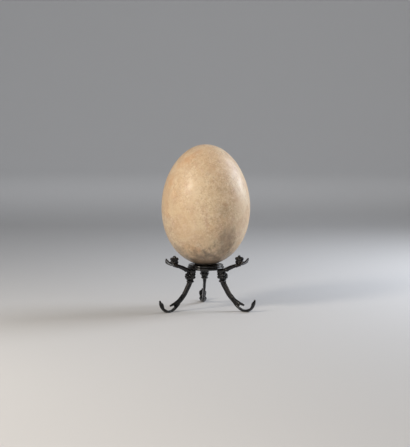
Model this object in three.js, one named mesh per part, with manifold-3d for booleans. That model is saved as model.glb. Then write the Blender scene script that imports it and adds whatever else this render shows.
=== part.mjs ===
// A large pale egg that stands upright in a blackened bronze tripod stand.
// The stand is a moulded seat ring on three S-scroll legs. Each has a flower head and a fan of leaves at
// its top, a rosette on each flank of its knee, a leafy mount on its front and an upturned leaf for a foot.
// Millimetres, +Z up. The origin is on the floor, under the middle of the bounding box.

import * as THREE from "three";
import { mergeVertices } from "three/addons/utils/BufferGeometryUtils.js";
import Module from "manifold-3d";

const wasm = await Module();
wasm.setup();

// Egg
const eggLength = 300;
const eggHalfWidth = 110;
const eggTaper = 0.053; // share by which the lower end is fuller than an ellipse, and the upper end slimmer
const eggBottom = 111; // height of the egg's lowest point above the floor
const eggSidesAround = 32;
const eggRows = 20;

// Seat ring: a deep moulded rim, with a thinner flange within it that is dished to the egg
const ringBottom = 100.5;
const rimInner = 34;
const flangeInner = 19;
const flangeBottom = 107.5;
const flangeFillet = 3; // the slope between the rim's inside and the underside of the flange
const seatOuter = 26; // outer radius of the dished seat that the egg sits on
const lowerBead = { radial: 42.5, height: 104, radius: 3.5 };
const upperBead = { radial: 41, height: 109.5, radius: 2.8 };
const ringSidesAround = 32;
const seatGap = 0.6; // clearance between the egg and its seat

// Fits and joins
const fittingGap = 0.3; // clearance between pieces that bear on each other
const sliver = 0.04; // slivers left by a join are smoothed away within this distance
const weld = 0.02; // corners closer than this after a join are one
const sameCorner = 1e-4; // corners of one shape that are meant to be the same lie within this distance

// Legs
const legAngles = { leg_front_right: -30, leg_back: 90, leg_front_left: 210 };
const kneeBlockInner = 36; // the block under the ring: a plate that the ring stands on, and a stem below it
const kneeBlockOuter = 50;
const plateHalfWidth = 10.5;
const plateBottom = 93.5;
const stemHalfWidth = 5;
const stemBottom = 78;
const kneePad = 50.8; // from the egg's axis to the flat on the knee that the leafy mount is fixed to
const kneePadHalfHeight = 11.5;
const kneePadHalfWidth = 16;
const mountHeight = 85;
const toeReach = 136; // from the egg's axis to the tip of a foot
const soleRadius = 108; // from the egg's axis to where a foot stands
const footThickness = 5;
const soleCut = 1; // how much of the foot's underside is cut off flat

// The collar under the knee and the roll under the arm's end: [radial, sideways, height] and half sizes
const collarPlace = [46.5, 0, 72];
const collarSize = [9.6, 9, 3.4];
const rollPlace = [85, 0, 113.5];
const rollSize = [6.5, 7.5, 4.6];

// Flowers: reach is out to the petal tips, and crest and boss are heights above the rim's plane
const petalCount = 6;
const petalOutline = [0, 1, 1]; // once round a petal: a notch, then its two shoulders
const flankRosette = { reach: 11, crest: 4.4, boss: 5.4, back: 3, firstNotch: 0 };
const flankRosettePlace = [44.5, 5.5, 86];
const flowerHead = { reach: 12.6, crest: 6, boss: 7.4, firstNotch: 3 };
const flowerHeadPlace = [93, 0, 127];
const kneeRosette = { reach: 11.6, crest: 6.2, boss: 9.2, back: 0, firstNotch: 0 };

// Rings of a flower from its rim inwards: shares of reach and crest in a notch, then on a petal.
const flowerRings = [
  { notch: [0.74, 0], petal: [1, 0] },
  { notch: [0.6, 0.35], petal: [0.68, 1] },
  { notch: [0.38, 0.45], petal: [0.38, 0.45] },
];
const bossReach = 0.26; // the boss's shoulder, as a share of reach
const bossShoulder = 0.75; // the same, as a share of the boss's height

const mountStretch = { sideways: 1.1, up: 0.95 }; // the mount is a little wider than it is tall

const bronze = new THREE.MeshStandardMaterial({ color: 0x17171a, roughness: 0.38, metalness: 0.9 });
const shell = new THREE.MeshStandardMaterial({ color: 0xdcc3a0, roughness: 0.55, metalness: 0 });

// Egg outline: radius at a height above the egg's lowest point.
function eggRadiusAt(height) {
  const u = (2 * height) / eggLength - 1;
  return eggHalfWidth * Math.sqrt(Math.max(0, 1 - u * u)) * (1 - eggTaper * u);
}

// Height on the egg's underside, above the floor, at a radius, found by halving the span that holds it.
function eggUndersideAt(radius) {
  let low = 0;
  let high = eggLength / 2;
  for (let i = 0; i < 40; i += 1) {
    const middle = (low + high) / 2;
    if (eggRadiusAt(middle) < radius) low = middle;
    else high = middle;
  }
  return eggBottom + low;
}

// Turns a lathe profile of [radius, height] points about +Z.
function turned(profile, sides) {
  const points = profile.map(([radius, height]) => new THREE.Vector2(radius, height));
  return new THREE.LatheGeometry(points, sides).rotateX(Math.PI / 2);
}

// Value at share s of the way through [share, value] stations, eased between them.
function along(stations, s) {
  const next = stations.findIndex(([share]) => share >= s);
  if (next <= 0) return stations[0][1];
  const [s0, v0] = stations[next - 1];
  const [s1, v1] = stations[next];
  return v0 + (v1 - v0) * THREE.MathUtils.smoothstep((s - s0) / (s1 - s0), 0, 1);
}

// A spine through [radial, sideways, height] points of one leg.
function spineThrough(points) {
  const vectors = points.map(([radial, sideways, height]) => new THREE.Vector3(radial, sideways, height));
  return new THREE.CatmullRomCurve3(vectors, false, "centripetal");
}

// Point, tangent, width direction and face normal of a spine, with the face turned towards a hint.
function frameAt(spine, s, faceHint) {
  const tangent = spine.getTangentAt(s);
  const width = new THREE.Vector3().crossVectors(faceHint, tangent).normalize();
  const face = new THREE.Vector3().crossVectors(tangent, width);
  return { point: spine.getPointAt(s), tangent, width, face };
}

function indexedGeometry(vertices, indices) {
  const geometry = new THREE.BufferGeometry();
  const positions = new Float32Array(vertices.flatMap((v) => [v.x, v.y, v.z]));
  geometry.setAttribute("position", new THREE.BufferAttribute(positions, 3));
  geometry.setIndex(indices);
  return geometry;
}

// A bar along a spine in the leg's own plane: an oval section, a raised ridge down its face, and flat ends.
function barGeometry({ spine, halfWidth, halfDepth, ridge, stations, sides }) {
  const vertices = [];
  const indices = [];
  const width = new THREE.Vector3(0, 1, 0);
  for (let i = 0; i <= stations; i += 1) {
    const s = i / stations;
    const point = spine.getPointAt(s);
    const face = new THREE.Vector3().crossVectors(spine.getTangentAt(s), width);
    for (let j = 0; j < sides; j += 1) {
      const turn = (2 * Math.PI * j) / sides;
      const rise = Math.max(0, Math.sin(turn)) ** 6 * ridge * along(halfDepth, s);
      const across = width.clone().multiplyScalar(along(halfWidth, s) * Math.cos(turn));
      const deep = face.clone().multiplyScalar(along(halfDepth, s) * Math.sin(turn) + rise);
      vertices.push(point.clone().add(across).add(deep));
    }
  }
  for (let i = 0; i < stations; i += 1) {
    for (let j = 0; j < sides; j += 1) {
      const a = i * sides + j;
      const b = i * sides + ((j + 1) % sides);
      indices.push(a, b, b + sides, a, b + sides, a + sides);
    }
  }
  for (let j = 1; j < sides - 1; j += 1) {
    const end = stations * sides;
    indices.push(0, j + 1, j, end, end + j, end + j + 1);
  }
  return indexedGeometry(vertices, indices);
}

// A lobed leaf: a slab along a spine, cupped across, its edge scalloped and its lobes swept forward.
function leafGeometry(leaf) {
  const { spine, halfWidth, lobes, notch, cup, sweep, thickness, faceHint, stations, across } = leaf;
  const columns = across + 1;
  const layer = (stations + 1) * columns;
  const vertices = [];
  for (const side of [1, -1]) {
    for (let i = 0; i <= stations; i += 1) {
      const s = i / stations;
      const { point, tangent, width, face } = frameAt(spine, s, faceHint);
      const scallop = 1 - notch * (1 - Math.abs(Math.sin(Math.PI * lobes * s)));
      const reach = along(halfWidth, s) * (s > 0 ? scallop : 1);
      for (let j = 0; j <= across; j += 1) {
        const q = (2 * j) / across - 1;
        const depth = (side * thickness * (1 - 0.55 * q * q)) / 2;
        const p = point.clone();
        p.addScaledVector(width, reach * q);
        p.addScaledVector(tangent, sweep * reach * q * q);
        p.addScaledVector(face, cup * reach * q * q + depth);
        vertices.push(p);
      }
    }
  }
  const indices = [];
  const quad = (a, b, c, d) => indices.push(a, c, b, a, d, c);
  for (let i = 0; i < stations; i += 1) {
    for (let j = 0; j < across; j += 1) {
      const a = i * columns + j;
      quad(a, a + 1, a + 1 + columns, a + columns);
      quad(layer + a + columns, layer + a + 1 + columns, layer + a + 1, layer + a);
    }
    const left = i * columns;
    const right = left + across;
    quad(left, left + columns, layer + left + columns, layer + left);
    quad(layer + right, layer + right + columns, right + columns, right);
  }
  for (let j = 0; j < across; j += 1) {
    const last = stations * columns + j;
    quad(layer + j, layer + j + 1, j + 1, j);
    quad(last, last + 1, layer + last + 1, layer + last);
  }
  return indexedGeometry(vertices, indices);
}

// An oval lump at [radial, sideways, height] with its three half sizes.
function lumpGeometry([radial, sideways, height], [halfRadial, halfSideways, halfHeight], around, rows) {
  const geometry = new THREE.SphereGeometry(1, around, rows);
  geometry.scale(halfRadial, halfSideways, halfHeight);
  return geometry.translate(radial, sideways, height);
}

function boxGeometry([x0, x1], [y0, y1], [z0, z1]) {
  const geometry = new THREE.BoxGeometry(x1 - x0, y1 - y0, z1 - z0);
  return geometry.translate((x0 + x1) / 2, (y0 + y1) / 2, (z0 + z1) / 2);
}

// A manifold solid from a closed geometry.
function solidOf(geometry) {
  const bare = geometry.clone();
  bare.deleteAttribute("normal");
  bare.deleteAttribute("uv");
  return solidOfCorners(mergeVertices(bare, sameCorner));
}

function solidOfCorners({ attributes, index }) {
  const vertProperties = new Float32Array(attributes.position.array);
  const triVerts = new Uint32Array(index.array);
  return new wasm.Manifold(new wasm.Mesh({ numProp: 3, vertProperties, triVerts }));
}

// A geometry from a manifold solid.
function geometryOf(solid) {
  const { vertProperties, triVerts } = solid.getMesh();
  const geometry = new THREE.BufferGeometry();
  geometry.setAttribute("position", new THREE.BufferAttribute(vertProperties, 3));
  geometry.setIndex(new THREE.BufferAttribute(triVerts, 1));
  return geometry;
}

// The largest closed surface of a solid: pockets sealed between joined pieces are filled.
function outerBody(solid) {
  const bodies = solid.decompose();
  return bodies.reduce((a, b) => (a.volume() > b.volume() ? a : b));
}

// A solid without slivers: corners closer than the weld distance become one, and flat folds drop out.
function cleaned(solid) {
  const welded = mergeVertices(geometryOf(outerBody(solid.simplify(sliver))), weld);
  const corners = Array.from({ length: welded.index.count / 3 }, (_, i) =>
    Array.from(welded.index.array.slice(3 * i, 3 * i + 3))
  );
  welded.setIndex(corners.filter(([a, b, c]) => a !== b && b !== c && c !== a).flat());
  return outerBody(solidOfCorners(welded));
}

const joined = (geometries) => cleaned(geometries.map(solidOf).reduce((a, b) => a.add(b)));

function egg() {
  const profile = [];
  for (let i = 0; i <= eggRows; i += 1) {
    const height = (eggLength / 2) * (1 - Math.cos((Math.PI * i) / eggRows));
    const radius = i === 0 || i === eggRows ? 0 : eggRadiusAt(height);
    profile.push([radius, eggBottom + height]);
  }
  return turned(profile, eggSidesAround);
}

// [radius, height] points round a bead of the ring, between two angles above the level in degrees.
function beadPoints({ radial, height, radius }, from, to, steps) {
  return Array.from({ length: steps + 1 }, (_, i) => {
    const angle = THREE.MathUtils.degToRad(from + ((to - from) * i) / steps);
    return [radial + radius * Math.cos(angle), height + radius * Math.sin(angle)];
  });
}

// The ring has a bead at its foot, a second bead above it, and a top that rises to the dished seat.
function seatRing() {
  const profile = [
    [rimInner, ringBottom],
    ...beadPoints(lowerBead, -90, 55, 4),
    ...beadPoints(upperBead, -45, 90, 4),
    [seatOuter, eggUndersideAt(seatOuter) - seatGap],
    [flangeInner, eggUndersideAt(flangeInner) - seatGap],
    [flangeInner, flangeBottom],
    [rimInner - flangeFillet, flangeBottom],
    [rimInner, flangeBottom - flangeFillet],
    [rimInner, ringBottom],
  ];
  return turned(profile, ringSidesAround);
}

// The S-scroll bar from the arm's end over the knee to the ankle and the foot.
function legBar() {
  const spine = spineThrough([
    [96, 0, 116.5],
    [86, 0, 114.5],
    [74, 0, 110.5],
    [62, 0, 105],
    [52, 0, 98],
    [45.5, 0, 87.5],
    [45.5, 0, 75.5],
    [50, 0, 63.5],
    [56, 0, 53],
    [61.5, 0, 43.5],
    [69, 0, 33.5],
    [79.5, 0, 22.5],
    [92, 0, 12],
  ]);
  return barGeometry({
    spine,
    halfWidth: [[0, 3.6], [0.22, 4.4], [0.38, 7.5], [0.5, 5.2], [0.62, 4], [0.8, 3.5], [1, 3.4]],
    halfDepth: [[0, 3.4], [0.22, 4.6], [0.38, 7.5], [0.5, 6.6], [0.7, 6.2], [0.9, 5], [1, 3.4]],
    ridge: 0.35,
    stations: 24,
    sides: 8,
  });
}

// The foot: a broad leaf that lies on the floor and turns up to a point.
function toeLeaf() {
  return leafGeometry({
    spine: spineThrough([
      [78, 0, 19],
      [87, 0, 10.5],
      [97, 0, 4.2],
      [soleRadius, 0, footThickness / 2 - soleCut],
      [119, 0, 3.6],
      [127.5, 0, 10],
      [133, 0, 19.5],
      [toeReach - 1, 0, 31],
    ]),
    halfWidth: [[0, 3.4], [0.3, 6.5], [0.58, 10.5], [0.82, 10], [1, 2.2]],
    lobes: 3,
    notch: 0.25,
    cup: 0.34,
    sweep: 0.45,
    thickness: footThickness,
    faceHint: new THREE.Vector3(0, 0, 1),
    stations: 13,
    across: 4,
  });
}

// A narrow fleshy leaf that lies over the instep, its tip lifted off the foot.
function instepLeaf() {
  return leafGeometry({
    spine: spineThrough([
      [70, 0, 40],
      [79, 0, 30],
      [89, 0, 23],
      [99, 0, 18],
      [106, 0, 15.5],
    ]),
    halfWidth: [[0, 2], [0.4, 4.4], [0.75, 4.8], [1, 1.6]],
    lobes: 2,
    notch: 0.16,
    cup: -0.3,
    sweep: 0.4,
    thickness: 5.4,
    faceHint: new THREE.Vector3(0.4, 0, 1),
    stations: 8,
    across: 4,
  });
}

// A flower that faces sideways: petals round a boss. Without a back it has the same face on both sides.
function flowerGeometry({ reach, crest, boss, back, firstNotch }) {
  const count = petalCount * petalOutline.length;
  const ringOf = (sizesAt) =>
    Array.from({ length: count }, (_, i) => {
      const angle = THREE.MathUtils.degToRad(firstNotch + (360 * i) / count);
      const [out, lift] = sizesAt(petalOutline[i % petalOutline.length]);
      return new THREE.Vector3(out * Math.cos(angle), lift, out * Math.sin(angle));
    });
  const face = flowerRings.map(({ notch, petal }) =>
    ringOf((share) => [
      reach * THREE.MathUtils.lerp(notch[0], petal[0], share),
      crest * THREE.MathUtils.lerp(notch[1], petal[1], share),
    ])
  );
  face.push(ringOf(() => [bossReach * reach, bossShoulder * boss]));
  const mirrored = (ring) => ring.map((p) => new THREE.Vector3(p.x, -p.y, p.z));
  const facingAway = face.slice(1).reverse().map(mirrored);
  const twoSided = back === undefined;
  const rings = twoSided ? [...facingAway, ...face] : face;
  const backMiddle = new THREE.Vector3(0, twoSided ? -boss : -back, 0);
  const vertices = [backMiddle, ...rings.flat(), new THREE.Vector3(0, boss, 0)];
  const indices = [];
  for (let j = 0; j < count; j += 1) {
    const next = (j + 1) % count;
    indices.push(0, 1 + j, 1 + next);
    for (let i = 0; i < rings.length - 1; i += 1) {
      const a = 1 + i * count;
      indices.push(a + j, a + count + j, a + count + next, a + j, a + count + next, a + next);
    }
    const last = 1 + (rings.length - 1) * count;
    indices.push(last + j, last + count, last + next);
  }
  return indexedGeometry(vertices, indices);
}

// The fan behind the flower head: a leaf that points up and out, and a lower one to each side.
function fan() {
  const middle = leafGeometry({
    spine: spineThrough([
      [88, 0, 116],
      [98, 0, 118.5],
      [107, 0, 123],
      [113, 0, 128],
      [117, 0, 133.5],
    ]),
    halfWidth: [[0, 4], [0.4, 8.5], [0.75, 8], [1, 1.8]],
    lobes: 3,
    notch: 0.26,
    cup: -0.25,
    sweep: 0.35,
    thickness: 3.6,
    faceHint: new THREE.Vector3(-0.5, 0, 1),
    stations: 9,
    across: 4,
  });
  const sides = [1, -1].map((side) =>
    leafGeometry({
      spine: spineThrough([
        [87, side * 2, 114.5],
        [94, side * 7, 116.5],
        [102, side * 12, 120],
        [109, side * 15.5, 126],
      ]),
      halfWidth: [[0, 3], [0.45, 6.5], [0.8, 6], [1, 1.5]],
      lobes: 2,
      notch: 0.22,
      cup: -0.3,
      sweep: 0.3,
      thickness: 3.4,
      faceHint: new THREE.Vector3(-0.4, side * 0.4, 1),
      stations: 6,
      across: 2,
    })
  );
  return [middle, ...sides];
}

// The S-scroll leg with its ornament, a block under the ring, a flat on the knee and a flat sole.
function leg() {
  const plate = boxGeometry(
    [kneeBlockInner, kneeBlockOuter],
    [-plateHalfWidth, plateHalfWidth],
    [plateBottom, ringBottom - fittingGap]
  );
  const stem = boxGeometry(
    [kneeBlockInner + 1, kneeBlockOuter],
    [-stemHalfWidth, stemHalfWidth],
    [stemBottom, plateBottom + 1]
  );
  const collar = lumpGeometry(collarPlace, collarSize, 10, 4);
  const roll = lumpGeometry(rollPlace, rollSize, 8, 4);
  const [rosetteRadial, rosetteSideways, rosetteHeight] = flankRosettePlace;
  const flanks = [0, Math.PI].map((turn) =>
    flowerGeometry(flankRosette)
      .rotateZ(turn)
      .translate(rosetteRadial, Math.cos(turn) * rosetteSideways, rosetteHeight)
  );
  const head = flowerGeometry(flowerHead).translate(...flowerHeadPlace);
  const ornament = [collar, roll, ...flanks, head, ...fan()];
  const whole = joined([legBar(), plate, stem, toeLeaf(), instepLeaf(), ...ornament]);
  const underFloor = boxGeometry([0, 2 * toeReach], [-toeReach, toeReach], [-toeReach, 0]);
  const beforePad = boxGeometry(
    [kneePad, kneePad + kneeBlockOuter],
    [-kneePadHalfWidth, kneePadHalfWidth],
    [mountHeight - kneePadHalfHeight, mountHeight + kneePadHalfHeight]
  );
  return cleaned(whole.subtract(solidOf(underFloor)).subtract(solidOf(beforePad)));
}

// The leafy mount on the front of a knee: a flower with a flat back.
function kneeMount() {
  const facingOut = flowerGeometry(kneeRosette).rotateZ(-Math.PI / 2);
  return facingOut
    .scale(1, mountStretch.sideways, mountStretch.up)
    .translate(kneePad + fittingGap, 0, mountHeight);
}

function named(name, geometry, material) {
  geometry.computeVertexNormals();
  const mesh = new THREE.Mesh(geometry, material);
  mesh.name = name;
  return mesh;
}

const object = new THREE.Group();
object.add(named("egg", egg(), shell));
object.add(named("seat_ring", seatRing(), bronze));
const legGeometry = geometryOf(leg());
const mountGeometry = kneeMount();
for (const [name, degrees] of Object.entries(legAngles)) {
  const turnedLeg = new THREE.Group();
  turnedLeg.rotation.z = THREE.MathUtils.degToRad(degrees);
  turnedLeg.add(named(name, legGeometry, bronze));
  turnedLeg.add(named(name.replace("leg", "knee_mount"), mountGeometry, bronze));
  object.add(turnedLeg);
}

// Two feet point forwards and one back, so the box's middle is a little behind the egg's axis.
const box = new THREE.Box3().setFromObject(object, true);
object.position.y = -(box.min.y + box.max.y) / 2;

export default object;
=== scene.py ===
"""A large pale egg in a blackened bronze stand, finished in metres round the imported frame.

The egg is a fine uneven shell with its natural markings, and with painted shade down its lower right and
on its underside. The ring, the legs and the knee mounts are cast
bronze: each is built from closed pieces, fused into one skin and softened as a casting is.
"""

import math

import bmesh
import bpy
import numpy as np
from mathutils import Matrix, Vector, noise


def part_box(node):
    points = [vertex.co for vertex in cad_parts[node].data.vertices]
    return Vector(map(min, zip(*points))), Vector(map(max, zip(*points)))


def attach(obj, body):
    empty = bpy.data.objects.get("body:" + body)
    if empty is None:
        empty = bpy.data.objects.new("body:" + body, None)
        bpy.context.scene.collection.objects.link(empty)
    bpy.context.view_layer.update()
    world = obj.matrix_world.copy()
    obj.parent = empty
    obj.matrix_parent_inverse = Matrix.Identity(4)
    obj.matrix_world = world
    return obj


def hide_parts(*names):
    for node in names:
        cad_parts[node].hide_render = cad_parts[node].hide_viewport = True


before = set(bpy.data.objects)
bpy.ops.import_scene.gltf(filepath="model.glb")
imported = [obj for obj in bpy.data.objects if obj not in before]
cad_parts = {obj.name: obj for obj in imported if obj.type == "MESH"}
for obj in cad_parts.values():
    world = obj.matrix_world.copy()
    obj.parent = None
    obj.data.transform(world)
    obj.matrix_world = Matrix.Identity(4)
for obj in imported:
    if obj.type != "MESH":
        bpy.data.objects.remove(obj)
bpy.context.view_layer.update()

MM = 0.001
BODY = "root"

# The egg, from the frame
EGG_LOW, EGG_HIGH = (Vector(corner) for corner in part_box("egg"))
EGG_AXIS = Vector(((EGG_LOW.x + EGG_HIGH.x) / 2, (EGG_LOW.y + EGG_HIGH.y) / 2, 0))
EGG_HALF_LENGTH = (EGG_HIGH.z - EGG_LOW.z) / 2
EGG_HALF_WIDTH = (EGG_HIGH.x - EGG_LOW.x) / 2
EGG_TAPER = 0.053
EGG_MIDDLE = EGG_AXIS + Vector((0, 0, (EGG_LOW.z + EGG_HIGH.z) / 2))
EGG_DIVISIONS = 112
EGG_SWELLS = ((2.2, 0.00035), (9, 0.00012), (34, 0.00005))

# The stand, in millimetres from the egg's axis and the floor
RING_BOTTOM = 100.5
RIM_INNER = 34
FLANGE_INNER = 19
FLANGE_BOTTOM = 107.5
SEAT_OUTER = 26
SEAT_GAP = 0.6
LOWER_BEAD = {"radial": 42.5, "height": 104, "radius": 3.5}
UPPER_BEAD = {"radial": 41, "height": 109.5, "radius": 2.8}
PLATE_BOTTOM = 93.5
STEM_BOTTOM = 78
LEG_ANGLES = {"front_right": -30, "back": 90, "front_left": 210}
KNEE_PAD = 50.8
KNEE_PAD_HALF_HEIGHT = 11.5
MOUNT_HEIGHT = 85
FLANK_PLACE = (44.5, 5.5, 86)
FLOWER_HEAD_PLACE = (93, 0, 127)
ROLL_PLACE = (85, 0, 113.5)
ROLL_HALF_LENGTH = 7.5
COLLAR_PLACE = (46.5, 0, 72)
COLLAR_HALF_WIDTHS = (9.6, 9)
PETAL_COUNT = 6
FITTING_GAP = 0.3
FOOT_THICKNESS = 5
SOLE_RADIUS = 108
SOLE_CUT = 1
TOE_REACH = 136

# The view is turned this far round the egg's axis from straight ahead
VIEW_TURN = math.radians(-3.5)

# How finely curves are followed and castings are fused
SPINE_STEPS = 40
SPINE_POINTS = 400
LEG_VOXEL = 0.62
MOUNT_VOXEL = 0.42


def seen(x, y, z):
    """A direction given as the viewer has it: x to the right and y away."""
    return Matrix.Rotation(VIEW_TURN, 3, "Z") @ Vector((x, y, z))


# Curves and stations

def spine_through(points):
    """Even positions along a centripetal Catmull-Rom curve through the points."""
    inner = [np.array(point, float) for point in points]
    control = [2 * inner[0] - inner[1], *inner, 2 * inner[-1] - inner[-2]]
    dense = []
    for p0, p1, p2, p3 in zip(control, control[1:], control[2:], control[3:]):
        d0, d1, d2 = (math.sqrt(np.linalg.norm(b - a)) for a, b in ((p0, p1), (p1, p2), (p2, p3)))
        leave = ((p1 - p0) / d0 - (p2 - p0) / (d0 + d1) + (p2 - p1) / d1) * d1
        arrive = ((p2 - p1) / d1 - (p3 - p1) / (d1 + d2) + (p3 - p2) / d2) * d1
        for step in range(SPINE_STEPS):
            t = step / SPINE_STEPS
            dense.append(
                p1 * (2 * t**3 - 3 * t**2 + 1)
                + leave * (t**3 - 2 * t**2 + t)
                + p2 * (3 * t**2 - 2 * t**3)
                + arrive * (t**3 - t**2)
            )
    dense.append(inner[-1])
    dense = np.array(dense)
    travelled = np.concatenate([[0], np.cumsum(np.linalg.norm(np.diff(dense, axis=0), axis=1))])
    even = np.linspace(0, travelled[-1], SPINE_POINTS)
    return np.stack([np.interp(even, travelled, dense[:, k]) for k in range(3)], axis=1)


def unit(vectors):
    return vectors / np.linalg.norm(vectors, axis=-1, keepdims=True)


def along_spine(spine, shares):
    """Points and tangents of a spine at shares of its length."""
    place = np.linspace(0, 1, len(spine))
    slope = np.gradient(spine, axis=0)
    points = np.stack([np.interp(shares, place, spine[:, k]) for k in range(3)], axis=1)
    tangents = np.stack([np.interp(shares, place, slope[:, k]) for k in range(3)], axis=1)
    return points, unit(tangents)


def eased(stations, shares):
    """Values at shares of the way through (share, value) stations, eased between them."""
    marks = np.array([share for share, _ in stations])
    values = np.array([value for _, value in stations])
    upper = np.clip(np.searchsorted(marks, shares), 1, len(marks) - 1)
    t = np.clip((shares - marks[upper - 1]) / (marks[upper] - marks[upper - 1]), 0, 1)
    t = t * t * (3 - 2 * t)
    return values[upper - 1] + (values[upper] - values[upper - 1]) * t


def bump_at(values, centre, width):
    """A smooth hump of height 1 at a centre."""
    return np.exp(-(((values - centre) / width) ** 2))


# Closed shells: each is (vertices in millimetres, faces)

def grid_faces(rows, columns, wrap, offset=0, flip=False):
    """Quads of a grid of rows by columns of vertices, joined round when wrap is set."""
    faces = []
    for i in range(rows - 1):
        for j in range(columns if wrap else columns - 1):
            a = offset + i * columns + j
            b = offset + i * columns + (j + 1) % columns
            quad = (a, b, b + columns, a + columns)
            faces.append(quad[::-1] if flip else quad)
    return faces


def bar(spine, half_width, half_depth, ridge, stations=150, sides=48):
    """The leg's bar: an oval with a ridge down its face and a groove to each side of the ridge."""
    shares = np.linspace(0, 1, stations + 1)
    points, tangents = along_spine(spine, shares)
    width = np.array([0.0, 1.0, 0.0])
    faces_out = unit(np.cross(tangents, width))
    turn = np.linspace(0, 2 * math.pi, sides, endpoint=False)[None, :]
    wide = eased(half_width, shares)[:, None]
    deep = eased(half_depth, shares)[:, None]
    from_ridge = np.abs(turn - math.pi / 2)
    relief = ridge * bump_at(from_ridge, 0, 0.24) - 0.13 * bump_at(from_ridge, 0.55, 0.2)
    across = wide * np.cos(turn)
    out = deep * (np.sin(turn) + relief)
    grid = points[:, None, :] + across[..., None] * width + out[..., None] * faces_out[:, None, :]
    faces = grid_faces(stations + 1, sides, wrap=True)
    faces.append(tuple(range(sides))[::-1])
    faces.append(tuple(stations * sides + j for j in range(sides)))
    return grid.reshape(-1, 3), faces


def leaf(spine, half_width, lobes, notch, cup, sweep, thickness, face_hint, puff=0.16):
    """A lobed leaf: cupped, notched between its puffed lobes, with a midrib and a vein to each lobe."""
    stations = 34 * lobes
    columns = 37
    s = np.linspace(0, 1, stations + 1)
    points, tangents = along_spine(spine, s)
    width = unit(np.cross(np.array(face_hint, float), tangents))
    face = np.cross(tangents, width)
    s = s[:, None]
    q = np.linspace(-1, 1, columns)[None, :]
    wave = np.abs(np.sin(math.pi * lobes * s))
    scallop = np.where(s > 0, 1 - notch * (1 - wave**0.75), 1)
    teeth = 1 - 0.05 * np.abs(np.sin(3 * math.pi * lobes * s))
    reach = eased(half_width, s) * scallop * teeth
    side_of_rib = np.clip(np.abs(q) / 0.25, 0, 1)
    phase = (lobes * s) % 1 - 0.5
    vein = bump_at(phase, 0, 0.085) * side_of_rib * np.clip((1 - np.abs(q)) / 0.3, 0, 1)
    rib = bump_at(q, 0, 0.11) * np.clip((1 - s) / 0.15, 0, 1)
    lift = cup * reach * q**2 + puff * reach * (wave - 0.6) * side_of_rib * np.abs(q)
    half = thickness * (1 - 0.55 * q**2) * np.sqrt(1 - q**12) / 2
    vertices = []
    for side in (1, -1):
        relief = 0.75 * vein + 0.9 * rib if side > 0 else -0.35 * rib
        height = lift + side * half + relief
        grid = (
            points[:, None, :]
            + (reach * q)[..., None] * width[:, None, :]
            + (sweep * reach * q**2)[..., None] * tangents[:, None, :]
            + height[..., None] * face[:, None, :]
        )
        vertices.append(grid.reshape(-1, 3))
    layer = (stations + 1) * columns
    faces = grid_faces(stations + 1, columns, wrap=False, flip=True)
    faces += grid_faces(stations + 1, columns, wrap=False, offset=layer)
    rim = [i * columns for i in range(stations + 1)]
    rim += [stations * columns + j for j in range(1, columns)]
    rim += [i * columns + columns - 1 for i in range(stations - 1, -1, -1)]
    rim += [j for j in range(columns - 2, 0, -1)]
    for a, b in zip(rim, rim[1:] + rim[:1]):
        faces.append((a, b, layer + b, layer + a))
    return np.concatenate(vertices), faces


def turned(profile, sides, lobes=0, lobe_depth=0.0):
    """A lathe shell about Z from (radius, height) points, with its sides lobed when lobes are given."""
    mean_lobe = 0.64
    profile = np.array(profile, float)
    turn = np.linspace(0, 2 * math.pi, sides, endpoint=False)[None, :]
    swell = 1 + lobe_depth * (np.abs(np.cos(lobes * turn / 2)) - mean_lobe)
    radius = profile[:, :1] * swell
    height = np.repeat(profile[:, 1:], sides, axis=1)
    vertices = np.stack([radius * np.cos(turn), radius * np.sin(turn), height], axis=-1).reshape(-1, 3)
    return vertices, grid_faces(len(profile), sides, wrap=True)


def lump(centre, half_sizes, turn=0.0, pinch=0.0):
    """An oval lump, turned about the radial axis, with a crease down its outer face when pinched."""
    rows = 33
    columns = 40
    theta = np.linspace(0, math.pi, rows)[:, None]
    phi = np.linspace(0, 2 * math.pi, columns, endpoint=False)[None, :]
    x = np.sin(theta) * np.cos(phi)
    y = np.sin(theta) * np.sin(phi)
    z = np.cos(theta) * np.ones_like(phi)
    dent = 1 - pinch * bump_at(y, 0, 0.28) * np.clip(x, 0, 1)
    local = np.stack([x * dent, y, z], axis=-1).reshape(-1, 3) * np.array(half_sizes)
    vertices = rotated_about_x(local, turn) + np.array(centre)
    return vertices, grid_faces(rows, columns, wrap=True)


def box_shell(low, high, cuts=8):
    """A box, cut into a grid so that it remeshes evenly."""
    shape = bmesh.new()
    bmesh.ops.create_cube(shape, size=1)
    bmesh.ops.subdivide_edges(shape, edges=shape.edges, cuts=cuts, use_grid_fill=True)
    low, high = np.array(low, float), np.array(high, float)
    vertices = np.array([vertex.co for vertex in shape.verts]) * (high - low) + (low + high) / 2
    faces = [tuple(vertex.index for vertex in face.verts) for face in shape.faces]
    shape.free()
    return vertices, faces


def rotated_about_x(vertices, angle):
    c, s = math.cos(angle), math.sin(angle)
    return vertices @ np.array([[1, 0, 0], [0, c, s], [0, -s, c]])


def rotated_about_z(vertices, angle):
    c, s = math.cos(angle), math.sin(angle)
    return vertices @ np.array([[c, s, 0], [-s, c, 0], [0, 0, 1]])


def rounded_loop(points, rounds):
    """A closed outline with its corners cut back again and again until they are round."""
    loop = np.array(points, float)
    for _ in range(rounds):
        after = np.roll(loop, -1, axis=0)
        loop = np.stack([0.75 * loop + 0.25 * after, 0.25 * loop + 0.75 * after], axis=1).reshape(-1, 2)
    return np.vstack([loop, loop[:1]])


# Blender objects

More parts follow.
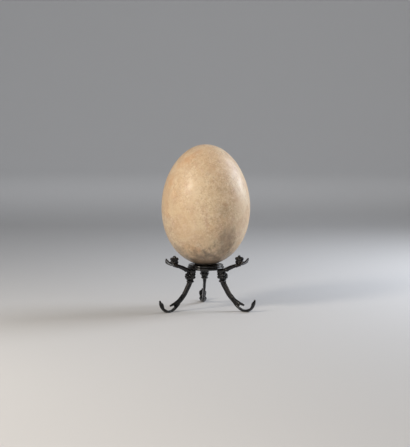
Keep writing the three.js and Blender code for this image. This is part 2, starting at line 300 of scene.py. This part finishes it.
def new_object(name, shells):
    """One object from closed shells given in millimetres from the egg's axis."""
    vertices = []
    faces = []
    count = 0
    for shell_vertices, shell_faces in shells:
        vertices.append(shell_vertices)
        faces += [tuple(index + count for index in face) for face in shell_faces]
        count += len(shell_vertices)
    placed = np.concatenate(vertices) * MM + np.array(EGG_AXIS)
    mesh = bpy.data.meshes.new(name)
    mesh.from_pydata(placed.tolist(), [], faces)
    mesh.validate()
    obj = bpy.data.objects.new(name, mesh)
    bpy.context.scene.collection.objects.link(obj)
    return obj


def apply_modifiers(obj):
    bpy.context.view_layer.update()
    evaluated = obj.evaluated_get(bpy.context.evaluated_depsgraph_get())
    mesh = bpy.data.meshes.new_from_object(evaluated)
    mesh.name = obj.name
    obj.modifiers.clear()
    obj.data = mesh


def clean_up(obj):
    """Merges doubled points, drops flat faces and turns every face outwards."""
    shape = bmesh.new()
    shape.from_mesh(obj.data)
    bmesh.ops.remove_doubles(shape, verts=shape.verts, dist=1e-6)
    bmesh.ops.dissolve_degenerate(shape, edges=shape.edges, dist=1e-7)
    bmesh.ops.recalc_face_normals(shape, faces=shape.faces)
    shape.to_mesh(obj.data)
    shape.free()
    obj.data.shade_smooth()


def fuse(obj, voxel, smoothing):
    """Fuses overlapping shells into one skin and softens it as sand casting does."""
    clean_up(obj)
    remesh = obj.modifiers.new("fuse", "REMESH")
    remesh.mode = "VOXEL"
    remesh.voxel_size = voxel * MM
    soften = obj.modifiers.new("soften", "SMOOTH")
    soften.factor = 0.5
    soften.iterations = smoothing
    apply_modifiers(obj)


def cut_at_floor(obj):
    """Cuts off what lies below the floor and closes the cut with a flat face."""
    shape = bmesh.new()
    shape.from_mesh(obj.data)
    everything = [*shape.verts, *shape.edges, *shape.faces]
    cut = bmesh.ops.bisect_plane(
        shape, geom=everything, plane_co=(0, 0, 0), plane_no=(0, 0, 1), clear_inner=True, dist=1e-7
    )
    rim = [edge for edge in cut["geom_cut"] if isinstance(edge, bmesh.types.BMEdge)]
    bmesh.ops.edgeloop_fill(shape, edges=rim)
    bmesh.ops.triangulate(shape, faces=[face for face in shape.faces if len(face.verts) > 4])
    shape.to_mesh(obj.data)
    shape.free()


def roughen(obj, depth, scale):
    """Moves points a little along their normals, so that a casting isn't machine smooth."""
    mesh = obj.data
    count = len(mesh.vertices)
    places = np.empty(count * 3, dtype=np.float32)
    normals = np.empty(count * 3, dtype=np.float32)
    mesh.vertices.foreach_get("co", places)
    mesh.vertex_normals.foreach_get("vector", normals)
    places = places.reshape(-1, 3)
    offsets = np.array([noise.noise(Vector(place) * scale) for place in places]) * depth
    near_floor = places[:, 2] < 0.5 * MM
    offsets[near_floor] = 0
    places = places + normals.reshape(-1, 3) * offsets[:, None]
    mesh.vertices.foreach_set("co", places.ravel())
    mesh.update()


def finish_piece(obj, node, material):
    """Gives an object its material, hides the imported part it takes the place of and attaches it to the
    body.
    """
    obj.data.materials.clear()
    obj.data.materials.append(material)
    obj.data.shade_smooth()
    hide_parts(node)
    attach(obj, BODY)


# Materials

class Nodes:
    """A material's node tree, with short ways to add a node and to link it."""

    def __init__(self, name):
        self.material = bpy.data.materials.new(name)
        self.material.use_nodes = True
        self.tree = self.material.node_tree
        self.shader = self.tree.nodes["Principled BSDF"]
        self.place = self.add("ShaderNodeTexCoord").outputs["Object"]

    def add(self, kind, **values):
        node = self.tree.nodes.new(kind)
        for key, value in values.items():
            setattr(node, key, value)
        return node

    def link(self, source, target):
        self.tree.links.new(source, target)

    def mapped(self, scale, offset=(0, 0, 0)):
        mapping = self.add("ShaderNodeMapping")
        mapping.inputs["Scale"].default_value = scale
        mapping.inputs["Location"].default_value = offset
        self.link(self.place, mapping.inputs["Vector"])
        return mapping.outputs["Vector"]

    def noise(self, scale, detail=4.0, rough=0.55, stretch=(1, 1, 1), offset=(0, 0, 0), warp=0.0):
        texture = self.add("ShaderNodeTexNoise")
        texture.inputs["Scale"].default_value = scale
        texture.inputs["Detail"].default_value = detail
        texture.inputs["Roughness"].default_value = rough
        texture.inputs["Distortion"].default_value = warp
        self.link(self.mapped(stretch, offset), texture.inputs["Vector"])
        return texture.outputs["Fac"]

    def between(self, value, low, high, to_low=0.0, to_high=1.0):
        node = self.add("ShaderNodeMapRange", interpolation_type="SMOOTHSTEP")
        node.inputs["From Min"].default_value = low
        node.inputs["From Max"].default_value = high
        node.inputs["To Min"].default_value = to_low
        node.inputs["To Max"].default_value = to_high
        self.link(value, node.inputs["Value"])
        return node.outputs["Result"]

    def math(self, operation, a, b):
        node = self.add("ShaderNodeMath", operation=operation)
        for socket, value in zip(node.inputs, (a, b)):
            if isinstance(value, (int, float)):
                socket.default_value = value
            else:
                self.link(value, socket)
        return node.outputs["Value"]

    def mix(self, share, a, b):
        node = self.add("ShaderNodeMix", data_type="RGBA")
        share_socket, a_socket, b_socket = node.inputs[0], node.inputs[6], node.inputs[7]
        for socket, value in ((share_socket, share), (a_socket, a), (b_socket, b)):
            if isinstance(value, (int, float)):
                socket.default_value = value
            elif isinstance(value, tuple):
                socket.default_value = (*value, 1)
            else:
                self.link(value, socket)
        return node.outputs[2]

    def bump(self, height, strength, distance, below=None):
        node = self.add("ShaderNodeBump")
        node.inputs["Strength"].default_value = strength
        node.inputs["Distance"].default_value = distance
        self.link(height, node.inputs["Height"])
        if below is not None:
            self.link(below, node.inputs["Normal"])
        return node.outputs["Normal"]


def on_egg(across, up):
    """A point on the egg's front: across and up as shares of its half width and half length."""
    radius = EGG_HALF_WIDTH * math.sqrt(max(0, 1 - up * up)) * (1 - EGG_TAPER * up)
    x = across * EGG_HALF_WIDTH
    y = -math.sqrt(max(0, radius * radius - x * x))
    return EGG_MIDDLE + seen(x, y, up * EGG_HALF_LENGTH)


def patch(nodes, centre, radius, edge_noise):
    """A soft spot round a point, its edge broken up by noise: 1 inside and 0 outside."""
    raggedness = 2
    distance = nodes.add("ShaderNodeVectorMath", operation="DISTANCE")
    nodes.link(nodes.place, distance.inputs[0])
    distance.inputs[1].default_value = centre
    wobble = nodes.math("MULTIPLY", nodes.math("SUBTRACT", edge_noise, 0.5), radius * raggedness)
    uneven = nodes.math("ADD", distance.outputs["Value"], wobble)
    return nodes.between(uneven, radius * 0.25, radius * 1.25, 1, 0)


# The shell's marks: across and up on the egg's front, radius in metres, and strength
RUSTY_PATCHES = (
    (-0.42, 0.76, 0.018, 0.30),
    (-0.28, 0.83, 0.012, 0.22),
    (-0.60, 0.66, 0.013, 0.22),
    (-0.78, 0.40, 0.017, 0.24),
    (-0.72, 0.22, 0.014, 0.16),
    (-0.86, -0.05, 0.020, 0.18),
    (-0.15, 0.90, 0.016, 0.20),
    (-0.22, -0.70, 0.015, 0.20),
    (0.12, -0.30, 0.012, 0.14),
)
# Painted shade: the dark valley down the lower right, between the key light and the right-hand light, and
# the darker underside, which is partly painted shade and partly staining
PAINTED_SHADE_AND_STAINS = (
    (0.51, -0.40, 0.026, 0.30),
    (0.47, -0.56, 0.034, 0.44),
    (0.37, -0.74, 0.032, 0.40),
    (0.40, -0.03, 0.019, 0.22),
    (0.36, 0.30, 0.014, 0.14),
    (-0.05, -0.86, 0.042, 0.50),
    (0.04, -0.99, 0.080, 0.88),
    (-0.60, -0.72, 0.020, 0.22),
)


def clouded(n):
    """The shell's ground colour: warm beige, in broad soft clouds."""
    broad = n.noise(9, detail=3, offset=(0.3, 0.1, 0.7))
    middling = n.noise(34, detail=5, rough=0.6, warp=0.4)
    cloud = n.noise(22, detail=6, rough=0.62, warp=0.8, offset=(2, 5, 1))
    colour = n.mix(n.between(broad, 0.36, 0.66), (0.66, 0.47, 0.29), (0.69, 0.53, 0.34))
    colour = n.mix(n.between(middling, 0.45, 0.66, 0, 0.6), colour, (0.58, 0.385, 0.245))
    return n.mix(n.between(cloud, 0.47, 0.66, 0, 0.5), colour, (0.77, 0.635, 0.455))


def mottled(n, colour, mottle, flecks, scuffs):
    """Fine lighter and darker mottling, stronger where the shell is worn."""
    fine = n.noise(150, detail=6, rough=0.65)
    worn = n.between(n.noise(13, detail=4, rough=0.6, warp=0.5, offset=(6, 4, 2)), 0.40, 0.60, 0.3, 1)
    for texture, low, high, at_low, at_high, tint in (
        (mottle, 0.48, 0.66, 0, 0.50, (0.82, 0.69, 0.50)),
        (mottle, 0.34, 0.50, 0.46, 0, (0.48, 0.325, 0.21)),
        (scuffs, 0.50, 0.66, 0, 0.54, (0.54, 0.35, 0.25)),
        (flecks, 0.52, 0.66, 0, 0.60, (0.42, 0.285, 0.185)),
        (flecks, 0.34, 0.48, 0.46, 0, (0.85, 0.73, 0.55)),
        (fine, 0.48, 0.68, 0, 0.36, (0.48, 0.34, 0.225)),
    ):
        share = n.math("MULTIPLY", n.between(texture, low, high, at_low, at_high), worn)
        colour = n.mix(share, colour, tint)
    return colour


def marked(n, colour, marks, edge_noise, tint):
    """Soft marks of one tint laid over a colour."""
    for across, up, radius, strength in marks:
        spot = n.math("MULTIPLY", patch(n, on_egg(across, up), radius, edge_noise), strength)
        colour = n.mix(spot, colour, tint)
    return colour


def specked(n, colour):
    """Small dark specks, in loose groups."""
    cells = n.add("ShaderNodeTexVoronoi", feature="F1")
    cells.inputs["Scale"].default_value = 260
    n.link(n.mapped((1, 1, 0.6)), cells.inputs["Vector"])
    speck = n.between(cells.outputs["Distance"], 0.08, 0.2, 1, 0)
    sparse = n.between(n.noise(45, detail=2, offset=(7, 3, 2)), 0.5, 0.68)
    speck = n.math("MULTIPLY", speck, n.math("MULTIPLY", sparse, 0.5))
    return n.mix(speck, colour, (0.22, 0.15, 0.10))


def pored(n, mottle):
    """The shell's fine relief: a grain, long pores, slow ripples and the mottling."""
    pores = n.add("ShaderNodeTexVoronoi", feature="F1")
    pores.inputs["Scale"].default_value = 520
    n.link(n.mapped((1, 1, 0.38)), pores.inputs["Vector"])
    pit = n.between(pores.outputs["Distance"], 0.05, 0.32)
    skin = n.bump(n.noise(620, detail=4, rough=0.6), 0.16, 0.0004)
    skin = n.bump(pit, 0.28, 0.0004, below=skin)
    skin = n.bump(n.noise(70, detail=6, rough=0.6), 0.26, 0.0012, below=skin)
    return n.bump(mottle, 0.20, 0.0010, below=skin)


def eggshell():
    """Old eggshell: warm beige, mottled, with rusty blotches, specks and pores, and painted shade in the
    valley between the lights and on the underside, where it is partly staining.
    """
    n = Nodes("eggshell")
    mottle = n.noise(105, detail=5, rough=0.68, warp=0.6, offset=(3, 6, 8))
    flecks = n.noise(260, detail=4, rough=0.7, offset=(5, 2, 9))
    scuffs = n.noise(80, detail=5, rough=0.7, stretch=(1, 1, 0.4), offset=(8, 1, 3))
    colour = mottled(n, clouded(n), mottle, flecks, scuffs)
    colour = marked(n, colour, RUSTY_PATCHES, mottle, (0.68, 0.36, 0.16))
    # Painted shade in the valley between the lights and on the underside, partly staining there
    colour = marked(n, colour, PAINTED_SHADE_AND_STAINS, scuffs, (0.19, 0.138, 0.10))
    n.link(specked(n, colour), n.shader.inputs["Base Color"])
    n.link(pored(n, mottle), n.shader.inputs["Normal"])

    sheen = n.noise(60, detail=5, offset=(1, 8, 4))
    n.link(n.between(sheen, 0.35, 0.65, 0.36, 0.52), n.shader.inputs["Roughness"])
    n.shader.inputs["Specular IOR Level"].default_value = 0.5
    n.shader.inputs["Subsurface Weight"].default_value = 0.06
    n.shader.inputs["Subsurface Scale"].default_value = 0.004
    n.shader.inputs["Subsurface Radius"].default_value = (1.0, 0.55, 0.3)
    return n.material


def black_bronze():
    """Blackened cast bronze: a glossy near-black patina, browner and worn on its edges."""
    n = Nodes("black_bronze")
    cloud = n.noise(70, detail=6, rough=0.6, warp=0.5)
    grain = n.noise(900, detail=4, rough=0.6)
    edges = n.add("ShaderNodeNewGeometry").outputs["Pointiness"]
    worn = n.between(edges, 0.53, 0.62)
    worn = n.math("MULTIPLY", worn, n.between(n.noise(160, detail=5, offset=(4, 1, 9)), 0.4, 0.7))
    hollow = n.between(edges, 0.38, 0.47, 1, 0)

    colour = n.mix(n.between(cloud, 0.35, 0.7), (0.008, 0.0085, 0.010), (0.017, 0.016, 0.0155))
    colour = n.mix(n.math("MULTIPLY", worn, 0.6), colour, (0.12, 0.092, 0.066))
    colour = n.mix(n.math("MULTIPLY", hollow, 0.5), colour, (0.012, 0.011, 0.009))
    n.link(colour, n.shader.inputs["Base Color"])
    n.shader.inputs["Metallic"].default_value = 0.75
    rough = n.between(n.math("ADD", cloud, n.math("MULTIPLY", grain, 0.3)), 0.4, 0.95, 0.18, 0.34)
    n.link(n.math("ADD", rough, n.math("MULTIPLY", hollow, 0.12)), n.shader.inputs["Roughness"])
    n.shader.inputs["Coat Weight"].default_value = 0.45
    n.shader.inputs["Coat Roughness"].default_value = 0.07
    skin = n.bump(n.noise(240, detail=5, rough=0.6), 0.12, 0.0006)
    skin = n.bump(grain, 0.10, 0.0002, below=skin)
    n.link(skin, n.shader.inputs["Normal"])
    return n.material


def plain(name, colour, roughness):
    """A material of one colour."""
    n = Nodes(name)
    n.shader.inputs["Base Color"].default_value = (*colour, 1)
    n.shader.inputs["Roughness"].default_value = roughness
    return n.material


# The egg

def egg_piece(material):
    """The shell: an even grid wrapped on the egg's outline, with slow swells and shallow dimples."""
    shape = bmesh.new()
    bmesh.ops.create_cube(shape, size=2)
    bmesh.ops.subdivide_edges(shape, edges=shape.edges, cuts=EGG_DIVISIONS - 1, use_grid_fill=True)
    for vertex in shape.verts:
        cube = Vector(math.tan(part * math.pi / 4) for part in vertex.co)
        ball = cube.normalized()
        narrowing = 1 - EGG_TAPER * ball.z
        swell = sum(noise.noise(ball * scale) * depth for scale, depth in EGG_SWELLS)
        vertex.co = EGG_MIDDLE + Vector(
            (
                ball.x * (EGG_HALF_WIDTH + swell) * narrowing,
                ball.y * (EGG_HALF_WIDTH + swell) * narrowing,
                ball.z * EGG_HALF_LENGTH,
            )
        )
    bmesh.ops.recalc_face_normals(shape, faces=shape.faces)
    mesh = bpy.data.meshes.new("egg_surface")
    shape.to_mesh(mesh)
    shape.free()
    obj = bpy.data.objects.new("egg_surface", mesh)
    bpy.context.scene.collection.objects.link(obj)
    finish_piece(obj, "egg", material)


# The stand

def egg_underside(radius):
    """Height of the egg's underside above the floor at a radius, both in millimetres."""
    heights = np.linspace(0, EGG_HALF_LENGTH, 600)
    u = heights / EGG_HALF_LENGTH - 1
    radii = EGG_HALF_WIDTH * np.sqrt(np.clip(1 - u**2, 0, 1)) * (1 - EGG_TAPER * u)
    return (EGG_LOW.z + np.interp(radius * MM, radii, heights)) / MM


def bead(radial, height, radius, start, end):
    """(radius, height) points round a bead of the ring, between two angles above the level."""
    angles = np.radians(np.linspace(start, end, 15))
    return [(radial + radius * math.cos(a), height + radius * math.sin(a)) for a in angles]


def seat_ring_piece(material):
    """The moulded ring: a rim with two beads, and a thinner flange within it, dished to the egg."""
    profile = [(RIM_INNER, RING_BOTTOM), (RIM_INNER + 3, RING_BOTTOM), (RIM_INNER + 6, RING_BOTTOM)]
    profile += bead(**LOWER_BEAD, start=-90, end=55)
    profile += bead(**UPPER_BEAD, start=-45, end=90)
    seat = egg_underside(SEAT_OUTER) - SEAT_GAP
    profile += [(38, 111.9), (36.5, 111.6), (35, 111.9), (31, 112.9), (27.5, seat - 0.35)]
    for radius in np.linspace(SEAT_OUTER, FLANGE_INNER, 8):
        profile.append((radius, egg_underside(radius) - SEAT_GAP))
    profile += [(FLANGE_INNER, 110.5), (FLANGE_INNER, FLANGE_BOTTOM), (22, FLANGE_BOTTOM)]
    profile += [(RIM_INNER - 3, FLANGE_BOTTOM), (RIM_INNER - 1, FLANGE_BOTTOM - 1)]
    profile.append((RIM_INNER, FLANGE_BOTTOM - 3))
    obj = new_object("seat_ring_surface", [turned(rounded_loop(profile, rounds=2), 192)])
    clean_up(obj)
    roughen(obj, 0.00008, 160)
    finish_piece(obj, "seat_ring", material)


def leg_bar():
    """The S-scroll bar, cut flat where the knee mount is fixed."""
    spine = spine_through(
        [
            (96, 0, 116.5),
            (86, 0, 114.5),
            (74, 0, 110.5),
            (62, 0, 105),
            (52, 0, 98),
            (45.5, 0, 87.5),
            (45.5, 0, 75.5),
            (50, 0, 63.5),
            (56, 0, 53),
            (61.5, 0, 43.5),
            (69, 0, 33.5),
            (79.5, 0, 22.5),
            (92, 0, 12),
        ]
    )
    vertices, faces = bar(
        spine,
        half_width=[(0, 3.6), (0.22, 4.4), (0.38, 7.5), (0.5, 5.2), (0.62, 4), (0.8, 3.5), (1, 3.4)],
        half_depth=[(0, 3.4), (0.22, 4.6), (0.38, 7.5), (0.5, 6.6), (0.7, 6.2), (0.9, 5), (1, 3.4)],
        ridge=0.3,
    )
    at_pad = np.abs(vertices[:, 2] - MOUNT_HEIGHT) < KNEE_PAD_HALF_HEIGHT
    vertices[at_pad, 0] = np.minimum(vertices[at_pad, 0], KNEE_PAD)
    return vertices, faces


def toe_leaf():
    """The broad leaf that the leg stands on, curled up at its tip."""
    return leaf(
        spine_through(
            [
                (78, 0, 19),
                (87, 0, 10.5),
                (97, 0, 4.2),
                (SOLE_RADIUS, 0, FOOT_THICKNESS / 2 - SOLE_CUT),
                (119, 0, 3.6),
                (127.5, 0, 10),
                (133, 0, 19.5),
                (TOE_REACH - 1, 0, 31),
            ]
        ),
        half_width=[(0, 3.4), (0.3, 6.5), (0.58, 10.5), (0.82, 10), (1, 2.2)],
        lobes=3,
        notch=0.28,
        cup=0.34,
        sweep=0.45,
        thickness=FOOT_THICKNESS,
        face_hint=(0, 0, 1),
        puff=0.10,
    )


def instep_leaf():
    """The small leaf that lifts off the shin above the foot."""
    return leaf(
        spine_through([(70, 0, 40), (79, 0, 30), (89, 0, 23), (99, 0, 18), (106, 0, 15.5)]),
        half_width=[(0, 2), (0.4, 4.4), (0.75, 4.8), (1, 1.6)],
        lobes=2,
        notch=0.18,
        cup=-0.3,
        sweep=0.4,
        thickness=5.2,
        face_hint=(0.4, 0, 1),
    )


def flower(reach, crest, boss, first_notch, faces=(1,)):
    """A flower that faces along X: creased petals round a boss, and a ring of small ones within."""
    shells = [
        lump((0, 0, 0), (0.6 * crest, 0.8 * reach, 0.8 * reach)),
        lump((0, 0, 0), (boss, 0.28 * reach, 0.28 * reach)),
    ]
    for i in range(PETAL_COUNT):
        first_petal = 90 - first_notch - 180 / PETAL_COUNT
        outer = math.radians(first_petal - 360 * i / PETAL_COUNT)
        place = rotated_about_x(np.array([[0, 0, 0.62 * reach]]), outer)[0]
        shells.append(lump(place, (crest, 0.34 * reach, 0.38 * reach), turn=outer, pinch=0.3))
        inner = outer + math.pi / PETAL_COUNT
        for face in faces:
            place = rotated_about_x(np.array([[0.62 * boss * face, 0, 0.36 * reach]]), inner)[0]
            shells.append(lump(place, (0.3 * boss, 0.15 * reach, 0.2 * reach), turn=inner))
    return shells


def flank_rosettes():
    """A rosette on each flank of the knee, cut flat with the knee where the mount is fixed."""
    shells = []
    for side in (1, -1):
        place = np.array(FLANK_PLACE) * (1, side, 1)
        for vertices, faces in flower(reach=11, crest=4.4, boss=5.4, first_notch=0):
            vertices = rotated_about_z(vertices, side * math.pi / 2) + place
            vertices[:, 0] = np.minimum(vertices[:, 0], KNEE_PAD)
            shells.append((vertices, faces))
    return shells


def flower_head():
    """The flower on the arm's end, with a face to each side."""
    shells = flower(reach=12.6, crest=5.6, boss=7.4, first_notch=3, faces=(1, -1))
    return [
        (rotated_about_z(vertices, math.pi / 2) + np.array(FLOWER_HEAD_PLACE), faces)
        for vertices, faces in shells
    ]


def fan():
    """The leaves behind the flower head: one that points up and out, and a lower one to each side."""
    middle = leaf(
        spine_through([(88, 0, 116), (98, 0, 118.5), (107, 0, 123), (113, 0, 128), (117, 0, 133.5)]),
        half_width=[(0, 4), (0.4, 8.5), (0.75, 8), (1, 1.8)],
        lobes=3,
        notch=0.28,
        cup=-0.25,
        sweep=0.35,
        thickness=3.6,
        face_hint=(-0.5, 0, 1),
    )
    leaves = [middle]
    for side in (1, -1):
        route = [(87, 2, 114.5), (94, 7, 116.5), (102, 12, 120), (109, 15.5, 126)]
        lower = leaf(
            spine_through([(x, side * y, z) for x, y, z in route]),
            half_width=[(0, 3), (0.45, 6.5), (0.8, 6), (1, 1.5)],
            lobes=2,
            notch=0.24,
            cup=-0.3,
            sweep=0.3,
            thickness=3.4,
            face_hint=(-0.4, side * 0.4, 1),
        )
        leaves.append(lower)
    return leaves


def roll():
    """The roll under the arm's end: a small drum with a stepped face to each side."""
    face = [(0, 0), (1.6, 0), (2.3, -0.5), (2.6, -1.4), (3.3, -1.5), (4.4, -1), (5.1, -2.2), (5.2, -5)]
    upper = [(radius, ROLL_HALF_LENGTH + height) for radius, height in face]
    lower = [(radius, -height) for radius, height in reversed(upper)]
    vertices, faces = turned(upper + lower, 48)
    oval = np.array([1.25, 1, 0.9])
    return rotated_about_x(vertices, math.pi / 2) * oval + np.array(ROLL_PLACE), faces


def collar():
    """The lobed collar under the knee."""
    upper = [(0, 3.4), (0.62, 3.2), (0.86, 2.3), (0.98, 0.7)]
    profile = upper + [(radius, -height) for radius, height in reversed(upper)]
    vertices, faces = turned(profile, 96, lobes=10, lobe_depth=0.1)
    return vertices * np.array([*COLLAR_HALF_WIDTHS, 1]) + np.array(COLLAR_PLACE), faces


def leg_shells():
    """What one leg is cast from, with the plate and the stem that carry the ring."""
    plate = box_shell((36, -10.5, PLATE_BOTTOM), (50, 10.5, RING_BOTTOM - FITTING_GAP))
    stem = box_shell((37, -5, STEM_BOTTOM), (50, 5, PLATE_BOTTOM + 1))
    foot = [toe_leaf(), instep_leaf()]
    return [leg_bar(), plate, stem, collar(), roll(), *foot, *flank_rosettes(), *flower_head(), *fan()]


def knee_mount_shells():
    """The leafy mount on the front of a knee: a flower with a flat back."""
    back = KNEE_PAD + FITTING_GAP
    stretch = np.array([1, 1.1, 0.95])
    placed = []
    for vertices, faces in flower(reach=11.6, crest=6.2, boss=9.2, first_notch=0):
        vertices = vertices * stretch + np.array([back, 0, MOUNT_HEIGHT])
        vertices[:, 0] = np.maximum(vertices[:, 0], back)
        placed.append((vertices, faces))
    return placed


def cast_three_times(name, shells, voxel, smoothing, material):
    """Fuses one casting, then places a copy of it on each leg's direction."""
    pattern = new_object(name, shells)
    fuse(pattern, voxel, smoothing)
    cut_at_floor(pattern)
    roughen(pattern, 0.00007, 220)
    for place, degrees in LEG_ANGLES.items():
        turn = Matrix.Rotation(math.radians(degrees), 4, "Z")
        mesh = pattern.data.copy()
        mesh.transform(Matrix.Translation(EGG_AXIS) @ turn @ Matrix.Translation(-EGG_AXIS))
        mesh.name = f"{name}_{place}"
        obj = bpy.data.objects.new(f"{name}_{place}_surface", mesh)
        bpy.context.scene.collection.objects.link(obj)
        finish_piece(obj, f"{name}_{place}", material)
    bpy.data.objects.remove(pattern)


# The room, the lights and the camera

def stage_bowl():
    """A pale floor that curves up into a wall all round, well behind every camera."""
    pinhole = 0.00002
    flat = 5.0
    bend = 2.5
    wall = 7.0
    profile = [(pinhole, 0), (1.5, 0), (3.0, 0), (flat, 0)]
    profile += [
        (flat + bend * math.sin(a), bend * (1 - math.cos(a)))
        for a in np.linspace(0, math.pi / 2, 17)[1:]
    ]
    profile.append((flat + bend, wall))
    vertices, faces = turned(profile, 96)
    mesh = bpy.data.meshes.new("floor")
    mesh.from_pydata(vertices.tolist(), [], faces)
    obj = bpy.data.objects.new("floor", mesh)
    bpy.context.scene.collection.objects.link(obj)
    mesh.materials.append(plain("pale_floor", (0.56, 0.56, 0.565), 0.75))
    mesh.shade_smooth()


def area_light(name, place, aim, size, energy, colour):
    """A soft area light; its place and aim are in metres from the egg's middle, as the viewer has them."""
    data = bpy.data.lights.new(name, "AREA")
    data.shape = "RECTANGLE"
    data.size, data.size_y = size
    data.energy = energy
    data.color = colour
    obj = bpy.data.objects.new(name, data)
    obj.location = EGG_MIDDLE + seen(*place)
    obj.rotation_euler = (seen(*place) - seen(*aim)).to_track_quat("Z", "Y").to_euler()
    bpy.context.scene.collection.objects.link(obj)


def lights():
    """A warm key from the left, a soft front light, a cool one from the right and one on the backdrop."""
    middle = (0, 0, 0)
    area_light("key_left", (-1.28, -1.07, 0.92), middle, (0.46, 0.60), 21, (1.0, 0.912, 0.79))
    area_light("front", (-0.26, -1.83, 0.46), middle, (1.2, 1.2), 8, (1.0, 0.90, 0.78))
    area_light("fill_right", (1.55, 0.62, 0.78), middle, (1.0, 1.3), 35, (0.89, 0.93, 1.0))
    area_light("backdrop", (0, 2.8, 2.4), (0, 6.6, 1.2), (3.5, 1.2), 50, (0.97, 0.98, 1.0))
    world = bpy.data.worlds.new("soft_room")
    world.use_nodes = True
    world.node_tree.nodes["Background"].inputs["Color"].default_value = (0.95, 0.97, 1.0, 1)
    world.node_tree.nodes["Background"].inputs["Strength"].default_value = 0.34
    bpy.context.scene.world = world


def camera():
    """Straight in front of the egg, a little above it, at the photograph's distance and angle."""
    data = bpy.data.cameras.new("camera")
    data.sensor_width = 36
    data.lens = 113.8
    obj = bpy.data.objects.new("camera", data)
    distance = 3.5
    height = 0.577
    aim_height = 0.214
    sideways = -0.002
    aim = EGG_AXIS + seen(sideways, 0, aim_height)
    obj.location = EGG_AXIS + seen(sideways, -distance, height)
    obj.rotation_euler = (obj.location - aim).to_track_quat("Z", "Y").to_euler()
    bpy.context.scene.collection.objects.link(obj)
    bpy.context.scene.camera = obj


shell_material = eggshell()
bronze_material = black_bronze()
egg_piece(shell_material)
seat_ring_piece(bronze_material)
cast_three_times("leg", leg_shells(), LEG_VOXEL, 3, bronze_material)
cast_three_times("knee_mount", knee_mount_shells(), MOUNT_VOXEL, 2, bronze_material)
stage_bowl()
lights()
camera()
bpy.context.scene.view_settings.view_transform = "Standard"
